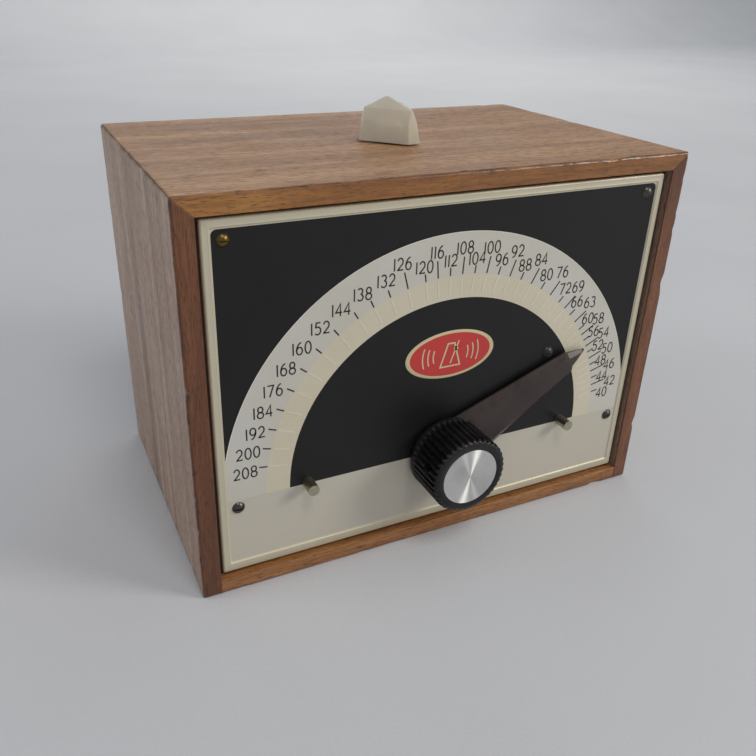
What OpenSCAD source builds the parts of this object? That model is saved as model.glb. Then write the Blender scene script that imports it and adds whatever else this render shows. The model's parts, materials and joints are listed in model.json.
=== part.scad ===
// Mains-driven metronome in a walnut case. Millimetres.
// Frame: origin at the middle of the case's underside, +X to the right of the dial,
// +Y to the back, +Z up. The dial faces -Y.

/* [Case] */
// Width of the case
case_w = 159; // [150:1:175]
// Depth of the case, front edge to back edge
case_d = 100; // [96:1:120]
// Height of the case, without the lamp lens
case_h = 119; // [119:1:128]
// Thickness of the two side boards
side_t = 5.6; // [5:0.2:7]
// Thickness of the top board
top_t = 5.3; // [5:0.1:6]
// Thickness of the bottom board
bottom_t = 4.9; // [4:0.1:6]
// Rounding of the long outer edges of the case
edge_r = 0.9; // [0.4:0.1:2]

/* [Dial plate] */
// How far the dial plate sits behind the front edges of the case
plate_recess = 2; // [1:0.2:3]
// Thickness of the dial plate
plate_t = 1.2; // [0.8:0.1:1.6]
// Gap between the dial plate and the side boards
plate_side_gap = 1.3; // [0.6:0.1:2]
// Gap between the dial plate and the top and bottom boards
plate_end_gap = 1.06; // [0.6:0.02:2]
// Distance of the plate screws from the middle of the plate
plate_screw_x = 67; // [64:0.5:68]
// Height of the upper plate screws
plate_screw_high = 107; // [100:1:108]
// Height of the lower plate screws
plate_screw_low = 28; // [20:1:34]
// Distance of the two stop pins from the middle of the plate
stop_x = 45.8; // [44:0.1:47]
// Radius of a stop pin
stop_r = 1.75; // [1.5:0.05:2]

/* [Tempo knob] */
// Height of the knob's axis
knob_z = 30.5; // [29:0.5:32]
// Outer radius of the knob
knob_r = 12.6; // [11:0.1:13]
// How far the knob stands out from the dial plate
knob_proud = 16.6; // [15:0.1:18]
// Distance from the knob's axis to the tip of the pointer
pointer_reach = 57.2; // [54:0.1:60]
// Angle of the pointer above the horizontal, as the part is stored
pointer_angle = 28; // [10:1:170]
// Radius of the control shaft
control_r = 3.175; // [3:0.025:3.2]

/* [Drive] */
// Height of the disc's axis and of the beat shaft
drive_z = 58; // [57:0.5:59]
// Distance of the disc's axis to the right of the case's middle
disc_x = 12; // [11:0.5:13]
// Radius of the friction disc
disc_r = 29; // [27:0.5:30]
// Distance from the beat shaft to the face of the disc
roller_r = 10; // [9:0.5:10]
// Teeth on the disc's gear
disc_teeth = 72; // [72:1:72]
// Teeth on the rotor's pinion
rotor_teeth = 12; // [12:1:12]
// Module of the disc's gear and the rotor's pinion
gear_m = 0.6; // [0.6:0.1:0.6]
// Teeth on the control shaft's pinion
rack_teeth = 21; // [21:1:21]
// Module of the rack and its pinion
rack_m = 0.7; // [0.7:0.1:0.7]

/* [Lamp] */
// Height of the lens above the case
lens_h = 13.3; // [11:0.1:14]
// Radius through the lower corners of the lens
lens_r = 10.7; // [9:0.1:12]
// How far the peak of the lens stands left of its middle
lens_lean = 2.2; // [0:0.1:4]
// Distance of the lens's axis in front of the case's middle
lens_y = 5.9; // [0:0.1:7]

/* [Hidden] */
$fn = 64;

// Running clearance between a shaft and its hole, on the radius
run = 0.05;
// Gap that keeps neighbouring parts of different bodies apart
gap = 0.2;

walnut = [0.45, 0.29, 0.19];
pine = [0.75, 0.62, 0.42];
steel = [0.62, 0.62, 0.64];
dark_steel = [0.28, 0.28, 0.3];
brass = [0.72, 0.58, 0.3];
black = [0.08, 0.08, 0.09];
fibre = [0.45, 0.25, 0.14];
cream = [0.78, 0.76, 0.68];

front = -case_d / 2;
back = case_d / 2;
inner_x = case_w / 2 - side_t;
ceiling = case_h - top_t;
plate_front = front + plate_recess;
plate_back = plate_front + plate_t;
plate_w = 2 * (inner_x - plate_side_gap);
plate_z0 = bottom_t + plate_end_gap;
plate_z1 = ceiling - plate_end_gap;
stop_z = knob_z + 0.5;
screw_shank = 1.2;
cleat = 10;

// The chassis stands behind the dial plate and carries the whole movement.
sheet = 1.5;
chassis_y = -34;
chassis_back = chassis_y + sheet;
chassis_x0 = -52;
chassis_x1 = 56;
chassis_top = 98;
foot_y = -14;
spacer_x = 36.8;
spacer_z = 57.9;

// Control shaft, pinion and rack. The set screw's place is its height above the dial
// plate and its angle round from the pointer.
set_screw_up = 11;
set_screw_turn = 137;
shaft_back = -24;
bush_r = 4.7;
pinion_y0 = -31;
pinion_y1 = -25.5;
rack_r = rack_m * rack_teeth / 2;
rack_pitch_z = knob_z + rack_r;
bar_y0 = -30.5;
bar_y1 = -26;
bar_z0 = rack_pitch_z + 1.25 * rack_m;
bar_top = 46;
rack_x0 = -9;
rack_x1 = 25;
rail_z = 43;
rail_r = 1.5;
rail_y = (bar_y0 + bar_y1) / 2;
rail_x0 = -31;
rail_x1 = 31.5;

// Beat shaft, roller and fork
beat_y = -20;
beat_x0 = -47;
beat_x1 = 17;
beat_r = 2.5;
journal_r = 2;
journal = 5;
roller_w = 4;
contact_r = 8.2;
roller_x = disc_x - contact_r;
cheek_t = 1.5;
cam_x = -37;
cam_w = 4;
cam_r = 9.4;
ear_z0 = 48;
ear_z1 = 66;
ear_y = -12;

// Disc, gear and motor
disc_face = beat_y + roller_r;
disc_t = 2;
gear_y = -3;
gear_w = 3.5;
disc_shaft_r = 2;
bracket_y = 8;
disc_pitch = gear_m * disc_teeth / 2;
rotor_pitch = gear_m * rotor_teeth / 2;
rotor_z = drive_z + disc_pitch + rotor_pitch;
rotor_shaft_r = 1.5;
core_y0 = 13;
core_y1 = 27;
core_bore = 11.5;
rotor_r = 11;
bridge_y = 34;
post_r = 2.5;
post_x = [-22, 47];
post_z = [18, 94];
gear_backlash = 0.12;
pressure = 20;

// Hammer and contacts
pivot_y = -27;
pivot_z = 72;
hammer_x = -35;
arm_z0 = 70.5;
arm_z1 = 73.5;
head_y = 4;
post_top = 65.5;
blade_y = -27;
blade_z = 46;

// Lamp, back and switch
panel_t = 3;
panel_y = back - 1 - panel_t;
cord_x = -45;
cord_z = 20;
cord_hole_r = 2.6;
switch_x = 48;
switch_z = 92;
lamp_r = 3.2;

// ---------------------------------------------------------------- shared shapes

// A round bar along +Y from y0 to y1
module bar_y(x, z, r, y0, y1) {
    translate([x, y1, z]) rotate([90, 0, 0]) cylinder(r = r, h = y1 - y0);
}

// A round bar along +X from x0 to x1
module bar_x(y, z, r, x0, x1) {
    translate([x0, y, z]) rotate([0, 90, 0]) cylinder(r = r, h = x1 - x0);
}

// A block given by its two corners
module block(a, b) {
    translate(a) cube(b - a);
}

// A rectangle with one radius on every corner, centred
module round_rect(w, h, r) {
    square([w - 2 * r, h], center = true);
    square([w, h - 2 * r], center = true);
    for (x = [-1, 1], z = [-1, 1])
        translate([x * (w / 2 - r), z * (h / 2 - r)]) circle(r = r, $fn = 32);
}

// An outline drawn in X and Z, made into a plate from y0 to y1
module plate_xz(y0, y1) {
    translate([0, y1, 0]) rotate([90, 0, 0]) linear_extrude(height = y1 - y0) children();
}

// An outline drawn in Y and Z, made into a plate from x0 to x1
module plate_yz(x0, x1) {
    translate([x0, 0, 0]) rotate([90, 0, 90]) linear_extrude(height = x1 - x0) children();
}

// A round-headed screw along Y with its head towards the front
module screw_front(x, z, head_y, head_r, shank_r, shank_y) {
    translate([x, head_y, z]) rotate([90, 0, 0]) difference() {
        intersection() {
            cylinder(r = head_r, h = head_r);
            translate([0, 0, -0.55 * head_r]) sphere(r = 1.15 * head_r);
        }
        translate([-head_r, -0.25, 0.25 * head_r]) cube([2 * head_r, 0.5, head_r]);
    }
    bar_y(x, z, shank_r, head_y, shank_y);
}

// Involute tooth flank: polar angle at radius r of a gear with base radius rb
function involute(r, rb) =
    let (t = sqrt(max(0, pow(r / rb, 2) - 1))) t * 180 / PI - atan(t);

// Half of the angle that a tooth covers at radius r
function half_tooth(r, m, n, slack) =
    let (p = m * n / 2, rb = p * cos(pressure))
    90 / n - slack * 180 / (2 * PI * p) + involute(p, rb) - involute(max(r, rb), rb);

// Outline of a spur gear: root, base, pitch and tip on each flank
function gear_outline(m, n, slack) =
    let (
        p = m * n / 2,
        root = p - 1.25 * m,
        tip = p + 0.95 * m,
        rise = [root, max(root, p * cos(pressure)), p - 0.35 * m, p, p + 0.5 * m, tip]
    )
    [for (i = [0 : n - 1], side = [-1, 1], k = [0 : 5])
        let (
            r = rise[side < 0 ? k : 5 - k],
            a = i * 360 / n + side * half_tooth(r, m, n, slack)
        )
        r * [cos(a), sin(a)]];

// ------------------------------------------------------------------------- case

// Cross-section of the four boards, seen from the front
module shell_section() {
    translate([0, case_h / 2]) difference() {
        round_rect(case_w, case_h, edge_r);
        translate([0, (bottom_t - top_t) / 2])
            square([2 * inner_x, ceiling - bottom_t], center = true);
    }
}

// The wedge between the two mitres that holds the top board
module top_wedge() {
    polygon([
        [-case_w / 2, case_h], [case_w / 2, case_h],
        [inner_x, ceiling], [-inner_x, ceiling]
    ]);
}

module case_top() {
    color(walnut) difference() {
        plate_xz(front, back) intersection() {
            shell_section();
            top_wedge();
        }
        translate([0, -lens_y, ceiling - 1]) cylinder(r = 6, h = top_t + 2);
    }
}

module side_board(side) {
    plate_xz(front, back) intersection() {
        difference() {
            shell_section();
            top_wedge();
        }
        translate([side > 0 ? inner_x : -case_w / 2, 0]) square([side_t, case_h]);
    }
}

module case_left() {
    color(walnut) side_board(-1);
}

module case_right() {
    color(walnut) side_board(1);
}

module case_bottom() {
    color(walnut) difference() {
        block([-inner_x, front, 0], [inner_x, back, bottom_t]);
        for (x = [-42, 46])
            translate([x, -22, 1.5]) cylinder(r = screw_shank, h = bottom_t);
    }
}

module cleat_pair(y0, y1, screw_y0, screw_y1, heights) {
    for (side = [-1, 1]) difference() {
        translate([side > 0 ? inner_x - cleat : -inner_x, y0, bottom_t])
            cube([cleat, y1 - y0, ceiling - bottom_t]);
        for (z = heights) bar_y(side * plate_screw_x, z, screw_shank, screw_y0, screw_y1);
    }
}

module front_cleats() {
    color(pine) cleat_pair(plate_back, plate_back + cleat, plate_back - 1,
        plate_back + 8, [plate_screw_low, plate_screw_high]);
}

module rear_cleats() {
    color(pine) cleat_pair(panel_y - cleat, panel_y, panel_y - 8, panel_y + 1,
        [14, case_h - 14]);
}

// ------------------------------------------------------------------- dial plate

module dial_plate() {
    color(cream) difference() {
        plate_xz(plate_front, plate_back) translate([0, (plate_z0 + plate_z1) / 2])
            round_rect(plate_w, plate_z1 - plate_z0, 1);
        bar_y(0, knob_z, bush_r, plate_front - 1, plate_back + 1);
        for (x = [-1, 1], z = [plate_screw_low, plate_screw_high])
            bar_y(x * plate_screw_x, z, screw_shank, plate_front - 1, plate_back + 1);
        for (x = [-1, 1])
            bar_y(x * stop_x, stop_z, 1.2, plate_front - 1, plate_back + 1);
        bar_y(spacer_x, spacer_z, screw_shank, plate_front - 1, plate_back + 1);
    }
}

module plate_screw(x, z, head = 1.9) {
    screw_front(x, z, plate_front, head, screw_shank, plate_back + 8);
}

module plate_screws() {
    color(dark_steel) {
        plate_screw(plate_screw_x, plate_screw_high);
        plate_screw(plate_screw_x, plate_screw_low);
        plate_screw(-plate_screw_x, plate_screw_low);
    }
}

module plate_screw_brass() {
    color(brass) plate_screw(-plate_screw_x, plate_screw_high, 1.75);
}

module stop_pins() {
    color(steel) for (x = [-1, 1]) {
        bar_y(x * stop_x, stop_z, stop_r, plate_front - 5, plate_front);
        bar_y(x * stop_x, stop_z, 1.2, plate_front, plate_back);
        bar_y(x * stop_x, stop_z, 1.9, plate_back, plate_back + 0.8);
    }
}

module spindle_bush() {
    color(brass) difference() {
        union() {
            bar_y(0, knob_z, bush_r, plate_front - 2.4, plate_back + 8);
            translate([0, plate_back + 2, knob_z]) rotate([90, 0, 0])
                cylinder(r = 7.2, h = 2, $fn = 6);
        }
        bar_y(0, knob_z, control_r + run, plate_front - 4, plate_back + 10);
    }
}

module bush_nut() {
    color(brass) difference() {
        translate([0, plate_front, knob_z]) rotate([90, 0, 0])
            cylinder(r = 6.6, h = 1.9, $fn = 6);
        bar_y(0, knob_z, bush_r, plate_front - 4, plate_front + 1);
    }
}

// ---------------------------------------------------------------------- chassis

module chassis_plate() {
    difference() {
        block([chassis_x0, chassis_y, bottom_t], [chassis_x1, chassis_back, chassis_top]);
        bar_y(0, knob_z, control_r + 1, chassis_y - 1, chassis_back + 1);
        bar_y(spacer_x, spacer_z, screw_shank, chassis_y - 1, chassis_back + 1);
        for (x = post_x, z = post_z) bar_y(x, z, 1.5, chassis_y - 1, chassis_back + 1);
    }
}

module chassis_foot() {
    difference() {
        block([chassis_x0, chassis_back, bottom_t],
            [chassis_x1, foot_y, bottom_t + sheet]);
        for (x = [-42, 46])
            translate([x, -22, bottom_t - 1]) cylinder(r = screw_shank, h = 4);
    }
}

// A tab bent back from the chassis plate, with one bore across it
module chassis_tab(x, y1, z0, z1, bore_y, bore_z, bore_r) {
    difference() {
        block([x, chassis_back, z0], [x + sheet, y1, z1]);
        bar_x(bore_y, bore_z, bore_r, x - 1, x + sheet + 1);
    }
}

module chassis() {
    color(steel) {
        chassis_plate();
        chassis_foot();
        for (x = [beat_x0 - 3, beat_x1 + 1])
            chassis_tab(x, ear_y, ear_z0, ear_z1, beat_y, drive_z, 3.6);
        for (x = [rail_x0, rail_x1 - sheet])
            chassis_tab(x, bar_y1 + 2, 39.5, 46.5, rail_y, rail_z, rail_r);
        for (x = [hammer_x - 8, hammer_x + 6.5])
            chassis_tab(x, pivot_y + 4, 68, 77, pivot_y, pivot_z, 1.5);
    }
}

module chassis_spacer() {
    color(brass) difference() {
        bar_y(spacer_x, spacer_z, 3, plate_back, chassis_y);
        bar_y(spacer_x, spacer_z, screw_shank, plate_back - 1, chassis_y + 1);
    }
}

module chassis_screw() {
    color(black) {
        screw_front(spacer_x, spacer_z, plate_front, 2.1, screw_shank, chassis_back + 4);
        translate([spacer_x, chassis_back + 2.2, spacer_z]) rotate([90, 0, 0])
            cylinder(r = 3, h = 2.2, $fn = 6);
    }
}

module foot_screws() {
    color(dark_steel) for (x = [-42, 46]) translate([x, -22, 0]) {
        translate([0, 0, 1.5]) cylinder(r = screw_shank, h = bottom_t + sheet - 1.5);
        translate([0, 0, bottom_t + sheet]) cylinder(r1 = 2.4, r2 = 1.6, h = 1.4);
    }
}

module motor_posts() {
    color(steel) for (x = post_x, z = post_z) {
        bar_y(x, z, 1.5, chassis_y - 1, chassis_back);
        bar_y(x, z, post_r, chassis_back, bracket_y);
        bar_y(x, z, 1.5, bracket_y, bracket_y + sheet + 1);
    }
}

module motor_bracket() {
    color(steel) difference() {
        block([post_x[0] - 4, bracket_y, post_z[0] - 4],
            [post_x[1] + 4, bracket_y + sheet, post_z[1] + 4]);
        bar_y(disc_x, drive_z, disc_shaft_r + run, bracket_y - 1, bracket_y + sheet + 1);
        bar_y(disc_x, rotor_z, rotor_shaft_r + run, bracket_y - 1, bracket_y + sheet + 1);
        for (x = post_x, z = post_z) bar_y(x, z, 1.5, bracket_y - 1, bracket_y + 3);
    }
}

// ------------------------------------------------------------------------ motor

module field_core() {
    color(dark_steel) difference() {
        block([disc_x - 24, core_y0, rotor_z - 42], [disc_x + 24, core_y1, rotor_z + 19]);
        bar_y(disc_x, rotor_z, core_bore, core_y0 - 1, core_y1 + 1);
        block([disc_x - 14, core_y0 - 1, rotor_z - 33], [disc_x + 14, core_y1 + 1, rotor_z - 19]);
    }
    color(steel) for (x = [-20, 20])
        bar_y(disc_x + x, rotor_z + 15, 1.6, bracket_y + sheet, core_y0);
    color(steel) for (x = [-20, 20])
        bar_y(disc_x + x, rotor_z - 38, 1.6, bracket_y + sheet, core_y0);
}

module field_coil() {
    color(fibre) difference() {
        block([disc_x - 13.5, core_y0 - 3.2, rotor_z - 47],
            [disc_x + 13.5, core_y1 + 5, rotor_z - 28.5]);
        block([disc_x - 15, core_y0, rotor_z - 42], [disc_x + 15, core_y1, rotor_z - 33]);
    }
}

module motor_bridge() {
    color(steel) difference() {
        union() {
            block([disc_x - 23, bridge_y, rotor_z - 6], [disc_x + 23, bridge_y + sheet, rotor_z + 6]);
            for (x = [-19.5, 19.5])
                bar_y(disc_x + x, rotor_z, 2.5, core_y1, bridge_y);
        }
        bar_y(disc_x, rotor_z, rotor_shaft_r + run, bridge_y - 1, bridge_y + sheet + 1);
    }
}

module rotor_drum() {
    color(steel) difference() {
        bar_y(disc_x, rotor_z, rotor_r, core_y0 + 1, core_y1 - 1);
        bar_y(disc_x, rotor_z, rotor_shaft_r, core_y0, core_y1);
    }
}

module rotor_shaft() {
    color(steel) bar_y(disc_x, rotor_z, rotor_shaft_r, gear_y - 1.5, bridge_y + 3);
}

module rotor_pinion() {
    color(brass) translate([disc_x, gear_y + gear_w + 0.5, rotor_z]) rotate([90, 0, 0])
        linear_extrude(height = gear_w + 1) difference() {
            rotate(-90) polygon(gear_outline(gear_m, rotor_teeth, gear_backlash));
            circle(r = rotor_shaft_r);
        }
}

module drive_disc() {
    color(steel) difference() {
        union() {
            bar_y(disc_x, drive_z, disc_r, disc_face, disc_face + disc_t);
            bar_y(disc_x, drive_z, 6, disc_face + disc_t, gear_y - 0.5);
        }
        bar_y(disc_x, drive_z, disc_shaft_r, disc_face + 1, gear_y + 1);
    }
}

module disc_shaft() {
    color(steel) bar_y(disc_x, drive_z, disc_shaft_r, disc_face + 1, core_y0 - 0.8);
}

module disc_gear() {
    color(brass) translate([disc_x, gear_y + gear_w, drive_z]) rotate([90, 0, 0])
        linear_extrude(height = gear_w) difference() {
            rotate(90 + 180 / disc_teeth)
                polygon(gear_outline(gear_m, disc_teeth, gear_backlash));
            circle(r = disc_shaft_r);
        }
}

// ----------------------------------------------------------------- beat section

module slide_rail() {
    color(steel) bar_x(rail_y, rail_z, rail_r, rail_x0 - 1, rail_x1 + 1);
}

module beat_bushes() {
    color(brass) for (x = [beat_x0 - 3.5, beat_x1 + 0.5]) difference() {
        bar_x(beat_y, drive_z, 3.6, x, x + 3);
        bar_x(beat_y, drive_z, journal_r + run, x - 1, x + 4);
    }
}

module hex_x(r, x0, x1) {
    translate([x0, beat_y, drive_z]) rotate([0, 90, 0]) cylinder(r = r, h = x1 - x0, $fn = 6);
}

module beat_shaft() {
    color(steel) {
        hex_x(beat_r, beat_x0, beat_x1);
        bar_x(beat_y, drive_z, journal_r, beat_x0 - journal, beat_x0);
        bar_x(beat_y, drive_z, journal_r, beat_x1, beat_x1 + journal);
    }
}

module beat_cam() {
    color(fibre) difference() {
        plate_yz(cam_x, cam_x + cam_w) translate([beat_y, drive_z]) {
            circle(r = 6);
            for (a = [0, 180]) rotate(a) translate([cam_r - 3.2, 0]) circle(r = 3.2);
        }
        hex_x(beat_r, cam_x - 1, cam_x + cam_w + 1);
    }
}

module roller_hub() {
    color(brass) difference() {
        bar_x(beat_y, drive_z, 7.5, roller_x - roller_w / 2, roller_x + roller_w / 2);
        hex_x(beat_r + 0.06, roller_x - roller_w, roller_x + roller_w);
    }
}

module roller_tyre() {
    color(black) difference() {
        bar_x(beat_y, drive_z, roller_r - 0.02, roller_x - 1.2, roller_x + 1.2);
        bar_x(beat_y, drive_z, 7.5, roller_x - 2, roller_x + 2);
    }
}

module rack_tooth_row() {
    pitch = PI * rack_m;
    half = pitch / 4 - gear_backlash / 2;
    lean = tan(pressure);
    tip_z = rack_pitch_z - 0.95 * rack_m;
    first = ceil((rack_x0 + 1) / pitch - 0.5);
    last = floor((rack_x1 - 1) / pitch - 0.5);
    for (i = [first : last]) let (x = (i + 0.5) * pitch) polygon([
        [x - half - 1.25 * rack_m * lean, bar_z0], [x - half + 0.95 * rack_m * lean, tip_z],
        [x + half - 0.95 * rack_m * lean, tip_z], [x + half + 1.25 * rack_m * lean, bar_z0]
    ]);
}

module rack_bar() {
    color(brass) difference() {
        plate_xz(bar_y0, bar_y1) {
            translate([rack_x0, bar_z0]) square([rack_x1 - rack_x0, bar_top - bar_z0]);
            rack_tooth_row();
        }
        bar_x(rail_y, rail_z, rail_r + run, rack_x0 - 1, rack_x1 + 1);
    }
}

module roller_fork() {
    inner = roller_w / 2 + gap;
    color(brass) for (side = [-1, 1]) {
        x0 = roller_x + (side > 0 ? inner : -inner - cheek_t);
        difference() {
            union() {
                block([x0, bar_y0, bar_top], [x0 + cheek_t, bar_y1, drive_z + 5]);
                block([x0, bar_y1, drive_z - 5], [x0 + cheek_t, beat_y + 5, drive_z + 5]);
            }
            bar_x(beat_y, drive_z, 3.5, x0 - 1, x0 + cheek_t + 1);
        }
    }
}

// --------------------------------------------------------- hammer, post, contact

module hammer_pin() {
    color(steel) bar_x(pivot_y, pivot_z, 1.5, hammer_x - 9, hammer_x + 9);
}

module hammer_arm() {
    color(steel) difference() {
        union() {
            bar_x(pivot_y, pivot_z, 3.4, hammer_x - 3, hammer_x + 3);
            block([hammer_x - 2.5, pivot_y + 1, arm_z0], [hammer_x + 2.5, head_y + 3, arm_z1]);
            block([hammer_x - 2.5, beat_y - 2, drive_z + cam_r + gap],
                [hammer_x + 2.5, beat_y + 2, arm_z0]);
        }
        bar_x(pivot_y, pivot_z, 1.5 + run, hammer_x - 4, hammer_x + 4);
        translate([hammer_x, head_y, arm_z0 - 1]) cylinder(r = 1.5, h = 5);
    }
}

module hammer_head() {
    color(brass) translate([hammer_x, head_y, 0]) {
        translate([0, 0, post_top + gap]) cylinder(r = 5, h = arm_z0 - post_top - gap);
        translate([0, 0, arm_z0]) cylinder(r = 1.5, h = arm_z1 - arm_z0);
        translate([0, 0, arm_z1]) cylinder(r = 2.6, h = 1.5);
    }
}

module sound_post() {
    color(pine) block([hammer_x - 7, head_y - 7, bottom_t], [hammer_x + 7, head_y + 7, post_top]);
}

module contact_stack() {
    color(fibre) {
        block([hammer_x - 6, chassis_back, 38], [hammer_x + 3, blade_y - 0.5, 44.8]);
    }
    color(brass) {
        block([hammer_x - 2, blade_y - 0.5, 42.6], [hammer_x + 2, -12.5, 43]);
        translate([hammer_x, -14, 43]) cylinder(r = 1.2, h = 0.8);
    }
}

module contact_blade() {
    color(brass) {
        bar_x(blade_y - 1.5, blade_z + 0.2, 0.5, hammer_x - 2, hammer_x + 2);
        block([hammer_x - 2, blade_y - 1.5, blade_z], [hammer_x + 2, -12, blade_z + 0.4]);
        translate([hammer_x, -14, blade_z - 0.8]) cylinder(r = 1.2, h = 0.8);
        translate([hammer_x, beat_y, blade_z + 0.4])
            cylinder(r = 1.2, h = drive_z - cam_r - gap - blade_z - 0.4);
    }
}

// ------------------------------------------------------------------------- lamp

// One level of the lens: three broad sides and three narrow ones. Each narrow side
// covers the given angle at the centre.
module lens_level(r, narrow, z) {
    translate([0, 0, z]) linear_extrude(height = 0.01) polygon([
        for (i = [0 : 2], side = [-1, 1])
            let (a = i * 120 + side * narrow / 2) r * [cos(a), sin(a)]
    ]);
}

module lamp_lens() {
    seat = 0.6;
    color([0.86, 0.84, 0.78]) translate([0, -lens_y, case_h]) difference() {
        union() {
            translate([-0.5, 0, 0]) hull() {
                rotate(43) {
                    lens_level(lens_r, 24, seat);
                    lens_level(0.885 * lens_r, 20, 0.49 * lens_h);
                    lens_level(0.83 * lens_r, 4, 0.75 * lens_h);
                }
                translate([-lens_lean, 0, lens_h - 0.02]) cylinder(r = 0.3, h = 0.02, $fn = 6);
            }
            translate([0, 0, -top_t]) cylinder(r = 5.9, h = top_t + seat);
        }
        translate([0, 0, -top_t - 1]) cylinder(r = 4.2, h = top_t + 6);
    }
}

// A thin seal under the lens
module lens_gasket() {
    color(black) translate([0, -lens_y, case_h]) difference() {
        cylinder(r = 6.6, h = 0.6);
        translate([0, 0, -1]) cylinder(r = 5.9, h = 3);
    }
}

module neon_lamp() {
    color([0.75, 0.6, 0.5]) translate([0, -lens_y, 0]) {
        translate([0, 0, 103]) cylinder(r = lamp_r, h = 16.5);
        translate([0, 0, 119.5]) sphere(r = lamp_r);
    }
}

module lamp_holder() {
    color(black) translate([0, -lens_y, 0]) difference() {
        union() {
            translate([0, 0, 104]) cylinder(r = 5.5, h = ceiling - 105.2);
            block([-16, -5, ceiling - 1.2], [16, 5, ceiling]);
        }
        translate([0, 0, 103]) cylinder(r = lamp_r, h = 12);
        for (x = [-12, 12]) translate([x, 0, 110]) cylinder(r = 1, h = 5);
    }
}

module lamp_screws() {
    color(steel) translate([0, -lens_y, 0]) for (x = [-12, 12]) translate([x, 0, 0]) {
        translate([0, 0, ceiling - 2.4]) cylinder(r1 = 1.2, r2 = 2, h = 1.2);
        translate([0, 0, ceiling - 1.2]) cylinder(r = 1, h = 1.2);
    }
}

module ballast_resistor() {
    color(fibre) {
        bar_x(-lens_y, 100.5, 1.6, -6, 6);
        for (x = [-6.4, 5.8])
            block([x, -lens_y - 0.4, 100.1], [x + 0.6, -lens_y + 0.4, ceiling - 1.2]);
    }
}

// --------------------------------------------------------------- back and switch

module back_panel() {
    color([0.36, 0.24, 0.16]) difference() {
        block([-inner_x + 0.4, panel_y, bottom_t + 0.4],
            [inner_x - 0.4, panel_y + panel_t, ceiling - 0.4]);
        for (x = [-1, 1], z = [14, case_h - 14])
            bar_y(x * plate_screw_x, z, screw_shank, panel_y - 1, back);
        bar_y(cord_x, cord_z, 5, panel_y - 1, back);
        bar_y(switch_x, switch_z, 3, panel_y - 1, back);
        for (i = [-2 : 2]) translate([i * 9, 0, 0]) {
            block([-1.5, panel_y - 1, 40], [1.5, back, 80]);
            for (z = [40, 80]) bar_y(0, z, 1.5, panel_y - 1, back);
        }
    }
}

module back_screws() {
    color(dark_steel) mirror([0, 1, 0]) for (x = [-1, 1], z = [14, case_h - 14])
        screw_front(x * plate_screw_x, z, -panel_y - panel_t, 2, screw_shank, -panel_y + 8);
}

module cord_grommet() {
    color(black) difference() {
        union() {
            bar_y(cord_x, cord_z, 7, panel_y - 1.5, panel_y);
            bar_y(cord_x, cord_z, 5, panel_y, panel_y + panel_t);
            bar_y(cord_x, cord_z, 7, panel_y + panel_t, back);
        }
        bar_y(cord_x, cord_z, cord_hole_r, panel_y - 3, back + 1);
    }
}

module switch_body() {
    color(black) difference() {
        union() {
            block([switch_x - 6.5, panel_y - 12, switch_z - 9], [switch_x + 6.5, panel_y, switch_z + 9]);
            bar_y(switch_x, switch_z, 3, panel_y, back);
        }
        bar_y(switch_x, switch_z, 2.3, panel_y - 7, back + 1);
    }
}

module switch_nut() {
    color(steel) difference() {
        translate([switch_x, back - 0.2, switch_z]) rotate([90, 0, 0])
            cylinder(r = 5, h = 0.8, $fn = 6);
        bar_y(switch_x, switch_z, 3, panel_y, back + 1);
    }
}

// The lever turns about a point inside the switch and leans down when it is on.
module switch_lever() {
    color(steel) translate([switch_x, panel_y - 3, switch_z]) rotate([10, 0, 0]) {
        rotate([0, 90, 0]) cylinder(r = 1.7, h = 2.4, center = true);
        rotate([-90, 0, 0]) cylinder(r1 = 0.8, r2 = 1, h = 7);
    }
}

// ------------------------------------------------------------------ tempo pointer

// Half of the pointer arm's width at distance u from the axis: base and top face
function arm_base(u) = 8.5 - 0.131 * (u - 16.7);
function arm_top(u) = 6.5 - 0.107 * (u - 15);

// The bevelled pointer arm, lying along +X with its base facing -Z
module pointer_arm() {
    shoulder = 50.5;
    hull() {
        linear_extrude(height = 0.4) polygon([
            [4, -arm_base(4)], [shoulder, -arm_base(shoulder)],
            [shoulder, arm_base(shoulder)], [4, arm_base(4)]
        ]);
        translate([0, 0, 1.9]) linear_extrude(height = 0.3) polygon([
            [4, -arm_top(4)], [shoulder - 1, -arm_top(shoulder)],
            [shoulder - 1, arm_top(shoulder)], [4, arm_top(4)]
        ]);
    }
    hull() {
        linear_extrude(height = 0.4) polygon([
            [shoulder - 4, -3], [shoulder, -3.4], [pointer_reach, -0.5],
            [pointer_reach, 0.5], [shoulder, 3.4], [shoulder - 4, 3]
        ]);
        translate([0, 0, 1.6]) linear_extrude(height = 0.2) polygon([
            [shoulder - 4, -1.4], [shoulder + 1.5, -1.2], [shoulder + 1.5, 1.2], [shoulder - 4, 1.4]
        ]);
    }
}

// Outline of the fluted barrel: each flute is a shallow three-sided groove
function flute_outline(r, depth, n) =
    [for (i = [0 : n - 1], k = [0 : 3])
        let (a = (i + [0, 0.4, 0.55, 0.85][k]) * 360 / n, rr = k == 0 || k == 1 ? r : r - depth)
        rr * [cos(a), sin(a)]];

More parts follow.
